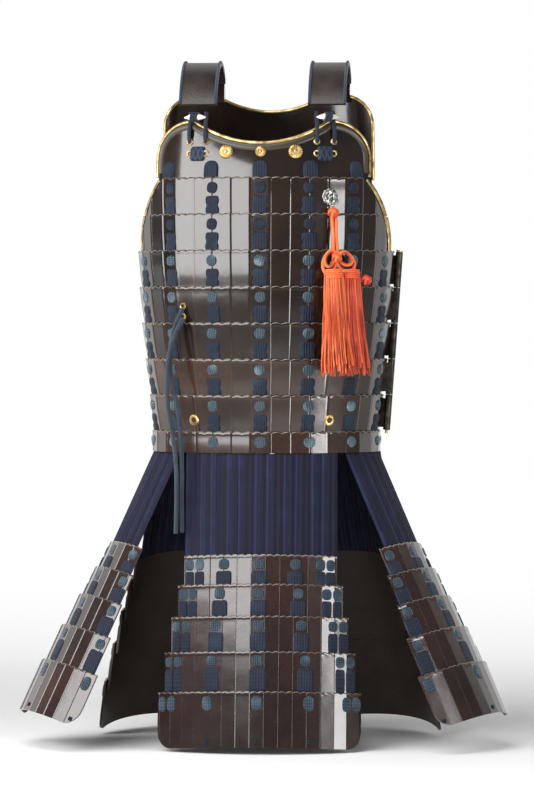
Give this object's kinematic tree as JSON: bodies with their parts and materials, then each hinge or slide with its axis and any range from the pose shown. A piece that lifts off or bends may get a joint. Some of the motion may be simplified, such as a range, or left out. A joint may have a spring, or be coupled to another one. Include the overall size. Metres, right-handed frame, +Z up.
{
  "type": "do cuirass",
  "caption": "Two-half lamellar trunk armour, hinged at one side, with shoulder straps, a tassel and a five-panel skirt whose laced ranks slide up.",
  "frame": {"origin": "centre plane of the body, at the level of the undersides of the shoulder straps", "axes": "+Z up, the front faces -Y, +X to the wearer's left"},
  "size_m": [0.5684, 0.367, 0.795],
  "materials": {
    "trunk_lacquer": "glossy black-brown lacquer over iron plates",
    "skirt_lacquer": "glossy dark brown lacquer over rawhide, indigo lacing",
    "suspension_lacing": "indigo braid",
    "gilt": "gilt",
    "dark_iron": "blackened",
    "strap_leather": "lacquered leather",
    "silver": "polished silver",
    "orange_silk": "silk cord",
    "blue_cord": "braided silk cord"
  },
  "bodies": {
    "back_half": {"back_top_plate": "trunk_lacquer", "back_upper_lame_1": "trunk_lacquer", "back_upper_lame_2": "trunk_lacquer", "back_body_lame_1": "trunk_lacquer", "back_body_lame_2": "trunk_lacquer", "back_body_lame_3": "trunk_lacquer", "back_body_lame_4": "trunk_lacquer", "back_body_lame_5": "trunk_lacquer", "back_body_lame_6": "trunk_lacquer", "hinge_back_leaves": "dark_iron", "hinge_pin": "dark_iron"},
    "front_half": {"breast_plate": "trunk_lacquer", "front_upper_lame_1": "trunk_lacquer", "front_upper_lame_2": "trunk_lacquer", "front_body_lame_1": "trunk_lacquer", "front_body_lame_2": "trunk_lacquer", "front_body_lame_3": "trunk_lacquer", "front_body_lame_4": "trunk_lacquer", "front_body_lame_5": "trunk_lacquer", "front_body_lame_6": "trunk_lacquer", "front_rims": "gilt", "hinge_front_leaves": "dark_iron", "gilt_studs": "gilt", "ring_plate": "silver", "shoulder_toggles": "blue_cord", "hanging_cords": "blue_cord"},
    "strap_right": {"shoulder_strap_right": "strap_leather"},
    "strap_left": {"shoulder_strap_left": "strap_leather"},
    "tassel_on_ring": {"tassel_ring": "silver", "tassel": "orange_silk"},
    "skirt_center": {"skirt_center_band": "suspension_lacing", "skirt_center_lame_1": "skirt_lacquer"},
    "skirt_center_rank_2": {"skirt_center_lame_2": "skirt_lacquer"},
    "skirt_center_rank_3": {"skirt_center_lame_3": "skirt_lacquer"},
    "skirt_center_rank_4": {"skirt_center_lame_4": "skirt_lacquer"},
    "skirt_center_rank_5": {"skirt_center_lame_5": "skirt_lacquer"},
    "skirt_right": {"skirt_right_band": "suspension_lacing", "skirt_right_lame_1": "skirt_lacquer"},
    "skirt_right_rank_2": {"skirt_right_lame_2": "skirt_lacquer"},
    "skirt_right_rank_3": {"skirt_right_lame_3": "skirt_lacquer"},
    "skirt_right_rank_4": {"skirt_right_lame_4": "skirt_lacquer"},
    "skirt_right_rank_5": {"skirt_right_lame_5": "skirt_lacquer"},
    "skirt_left": {"skirt_left_band": "suspension_lacing", "skirt_left_lame_1": "skirt_lacquer"},
    "skirt_left_rank_2": {"skirt_left_lame_2": "skirt_lacquer"},
    "skirt_left_rank_3": {"skirt_left_lame_3": "skirt_lacquer"},
    "skirt_left_rank_4": {"skirt_left_lame_4": "skirt_lacquer"},
    "skirt_left_rank_5": {"skirt_left_lame_5": "skirt_lacquer"},
    "skirt_back_right": {"skirt_back_right_band": "suspension_lacing", "skirt_back_right_lame_1": "skirt_lacquer"},
    "skirt_back_right_rank_2": {"skirt_back_right_lame_2": "skirt_lacquer"},
    "skirt_back_right_rank_3": {"skirt_back_right_lame_3": "skirt_lacquer"},
    "skirt_back_right_rank_4": {"skirt_back_right_lame_4": "skirt_lacquer"},
    "skirt_back_right_rank_5": {"skirt_back_right_lame_5": "skirt_lacquer"},
    "skirt_back_left": {"skirt_back_left_band": "suspension_lacing", "skirt_back_left_lame_1": "skirt_lacquer"},
    "skirt_back_left_rank_2": {"skirt_back_left_lame_2": "skirt_lacquer"},
    "skirt_back_left_rank_3": {"skirt_back_left_lame_3": "skirt_lacquer"},
    "skirt_back_left_rank_4": {"skirt_back_left_lame_4": "skirt_lacquer"},
    "skirt_back_left_rank_5": {"skirt_back_left_lame_5": "skirt_lacquer"}
  },
  "joints": [
    {"name": "side_hinge", "type": "hinge", "parent": "back_half", "child": "front_half", "pos_m": [0.1566, 0, -0.219], "axis": [0.0725, 0, 0.9974], "range_deg": [0, 80]},
    {"name": "strap_right_lift", "type": "hinge", "parent": "back_half", "child": "strap_right", "pos_m": [-0.075, 0.06836, -0.02057], "axis": [-1, 0, 0], "range_deg": [0, 80]},
    {"name": "strap_left_lift", "type": "hinge", "parent": "back_half", "child": "strap_left", "pos_m": [0.075, 0.06836, -0.02057], "axis": [-1, 0, 0], "range_deg": [0, 80]},
    {"name": "tassel_swing", "type": "hinge", "parent": "front_half", "child": "tassel_on_ring", "pos_m": [0.08323, -0.10438, -0.15664], "axis": [-0.8954, -0.4453, 0], "range_deg": [0, 70]},
    {"name": "skirt_center_swing", "type": "hinge", "parent": "front_half", "child": "skirt_center", "pos_m": [0, -0.1096, -0.4534], "axis": [-1, 0, 0], "range_deg": [0, 60]},
    {"name": "skirt_center_gather_2", "type": "slide", "parent": "skirt_center", "child": "skirt_center_rank_2", "axis": [0, 0.1392, 0.9903], "range_m": [0, 0.028]},
    {"name": "skirt_center_gather_3", "type": "slide", "parent": "skirt_center_rank_2", "child": "skirt_center_rank_3", "axis": [0, 0.1392, 0.9903], "range_m": [0, 0.028]},
    {"name": "skirt_center_gather_4", "type": "slide", "parent": "skirt_center_rank_3", "child": "skirt_center_rank_4", "axis": [0, 0.1392, 0.9903], "range_m": [0, 0.028]},
    {"name": "skirt_center_gather_5", "type": "slide", "parent": "skirt_center_rank_4", "child": "skirt_center_rank_5", "axis": [0, 0.1392, 0.9903], "range_m": [0, 0.028]},
    {"name": "skirt_right_swing", "type": "hinge", "parent": "front_half", "child": "skirt_right", "pos_m": [-0.12259, -0.04176, -0.4534], "axis": [-0.4463, 0.8949, 0], "range_deg": [0, 60]},
    {"name": "skirt_right_gather_2", "type": "slide", "parent": "skirt_right", "child": "skirt_right_rank_2", "axis": [0.3923, 0.1956, 0.8988], "range_m": [0, 0.028]},
    {"name": "skirt_right_gather_3", "type": "slide", "parent": "skirt_right_rank_2", "child": "skirt_right_rank_3", "axis": [0.3923, 0.1956, 0.8988], "range_m": [0, 0.028]},
    {"name": "skirt_right_gather_4", "type": "slide", "parent": "skirt_right_rank_3", "child": "skirt_right_rank_4", "axis": [0.3923, 0.1956, 0.8988], "range_m": [0, 0.028]},
    {"name": "skirt_right_gather_5", "type": "slide", "parent": "skirt_right_rank_4", "child": "skirt_right_rank_5", "axis": [0.3923, 0.1956, 0.8988], "range_m": [0, 0.028]},
    {"name": "skirt_left_swing", "type": "hinge", "parent": "front_half", "child": "skirt_left", "pos_m": [0.12259, -0.04176, -0.4534], "axis": [-0.4463, -0.8949, 0], "range_deg": [0, 60]},
    {"name": "skirt_left_gather_2", "type": "slide", "parent": "skirt_left", "child": "skirt_left_rank_2", "axis": [-0.3923, 0.1956, 0.8988], "range_m": [0, 0.028]},
    {"name": "skirt_left_gather_3", "type": "slide", "parent": "skirt_left_rank_2", "child": "skirt_left_rank_3", "axis": [-0.3923, 0.1956, 0.8988], "range_m": [0, 0.028]},
    {"name": "skirt_left_gather_4", "type": "slide", "parent": "skirt_left_rank_3", "child": "skirt_left_rank_4", "axis": [-0.3923, 0.1956, 0.8988], "range_m": [0, 0.028]},
    {"name": "skirt_left_gather_5", "type": "slide", "parent": "skirt_left_rank_4", "child": "skirt_left_rank_5", "axis": [-0.3923, 0.1956, 0.8988], "range_m": [0, 0.028]},
    {"name": "skirt_back_right_swing", "type": "hinge", "parent": "back_half", "child": "skirt_back_right", "pos_m": [-0.08612, 0.08334, -0.4534], "axis": [0.8169, 0.5767, 0], "range_deg": [0, 60]},
    {"name": "skirt_back_right_gather_2", "type": "slide", "parent": "skirt_back_right", "child": "skirt_back_right_rank_2", "axis": [0.1395, -0.1976, 0.9703], "range_m": [0, 0.028]},
    {"name": "skirt_back_right_gather_3", "type": "slide", "parent": "skirt_back_right_rank_2", "child": "skirt_back_right_rank_3", "axis": [0.1395, -0.1976, 0.9703], "range_m": [0, 0.028]},
    {"name": "skirt_back_right_gather_4", "type": "slide", "parent": "skirt_back_right_rank_3", "child": "skirt_back_right_rank_4", "axis": [0.1395, -0.1976, 0.9703], "range_m": [0, 0.028]},
    {"name": "skirt_back_right_gather_5", "type": "slide", "parent": "skirt_back_right_rank_4", "child": "skirt_back_right_rank_5", "axis": [0.1395, -0.1976, 0.9703], "range_m": [0, 0.028]},
    {"name": "skirt_back_left_swing", "type": "hinge", "parent": "back_half", "child": "skirt_back_left", "pos_m": [0.08612, 0.08334, -0.4534], "axis": [0.8169, -0.5767, 0], "range_deg": [0, 60]},
    {"name": "skirt_back_left_gather_2", "type": "slide", "parent": "skirt_back_left", "child": "skirt_back_left_rank_2", "axis": [-0.1395, -0.1976, 0.9703], "range_m": [0, 0.028]},
    {"name": "skirt_back_left_gather_3", "type": "slide", "parent": "skirt_back_left_rank_2", "child": "skirt_back_left_rank_3", "axis": [-0.1395, -0.1976, 0.9703], "range_m": [0, 0.028]},
    {"name": "skirt_back_left_gather_4", "type": "slide", "parent": "skirt_back_left_rank_3", "child": "skirt_back_left_rank_4", "axis": [-0.1395, -0.1976, 0.9703], "range_m": [0, 0.028]},
    {"name": "skirt_back_left_gather_5", "type": "slide", "parent": "skirt_back_left_rank_4", "child": "skirt_back_left_rank_5", "axis": [-0.1395, -0.1976, 0.9703], "range_m": [0, 0.028]}
  ],
  "couplings": [
    {"joint": "skirt_center_gather_3", "follows": "skirt_center_gather_2", "ratio": 1},
    {"joint": "skirt_center_gather_4", "follows": "skirt_center_gather_2", "ratio": 1},
    {"joint": "skirt_center_gather_5", "follows": "skirt_center_gather_2", "ratio": 1},
    {"joint": "skirt_right_gather_3", "follows": "skirt_right_gather_2", "ratio": 1},
    {"joint": "skirt_right_gather_4", "follows": "skirt_right_gather_2", "ratio": 1},
    {"joint": "skirt_right_gather_5", "follows": "skirt_right_gather_2", "ratio": 1},
    {"joint": "skirt_left_gather_3", "follows": "skirt_left_gather_2", "ratio": 1},
    {"joint": "skirt_left_gather_4", "follows": "skirt_left_gather_2", "ratio": 1},
    {"joint": "skirt_left_gather_5", "follows": "skirt_left_gather_2", "ratio": 1},
    {"joint": "skirt_back_right_gather_3", "follows": "skirt_back_right_gather_2", "ratio": 1},
    {"joint": "skirt_back_right_gather_4", "follows": "skirt_back_right_gather_2", "ratio": 1},
    {"joint": "skirt_back_right_gather_5", "follows": "skirt_back_right_gather_2", "ratio": 1},
    {"joint": "skirt_back_left_gather_3", "follows": "skirt_back_left_gather_2", "ratio": 1},
    {"joint": "skirt_back_left_gather_4", "follows": "skirt_back_left_gather_2", "ratio": 1},
    {"joint": "skirt_back_left_gather_5", "follows": "skirt_back_left_gather_2", "ratio": 1}
  ]
}
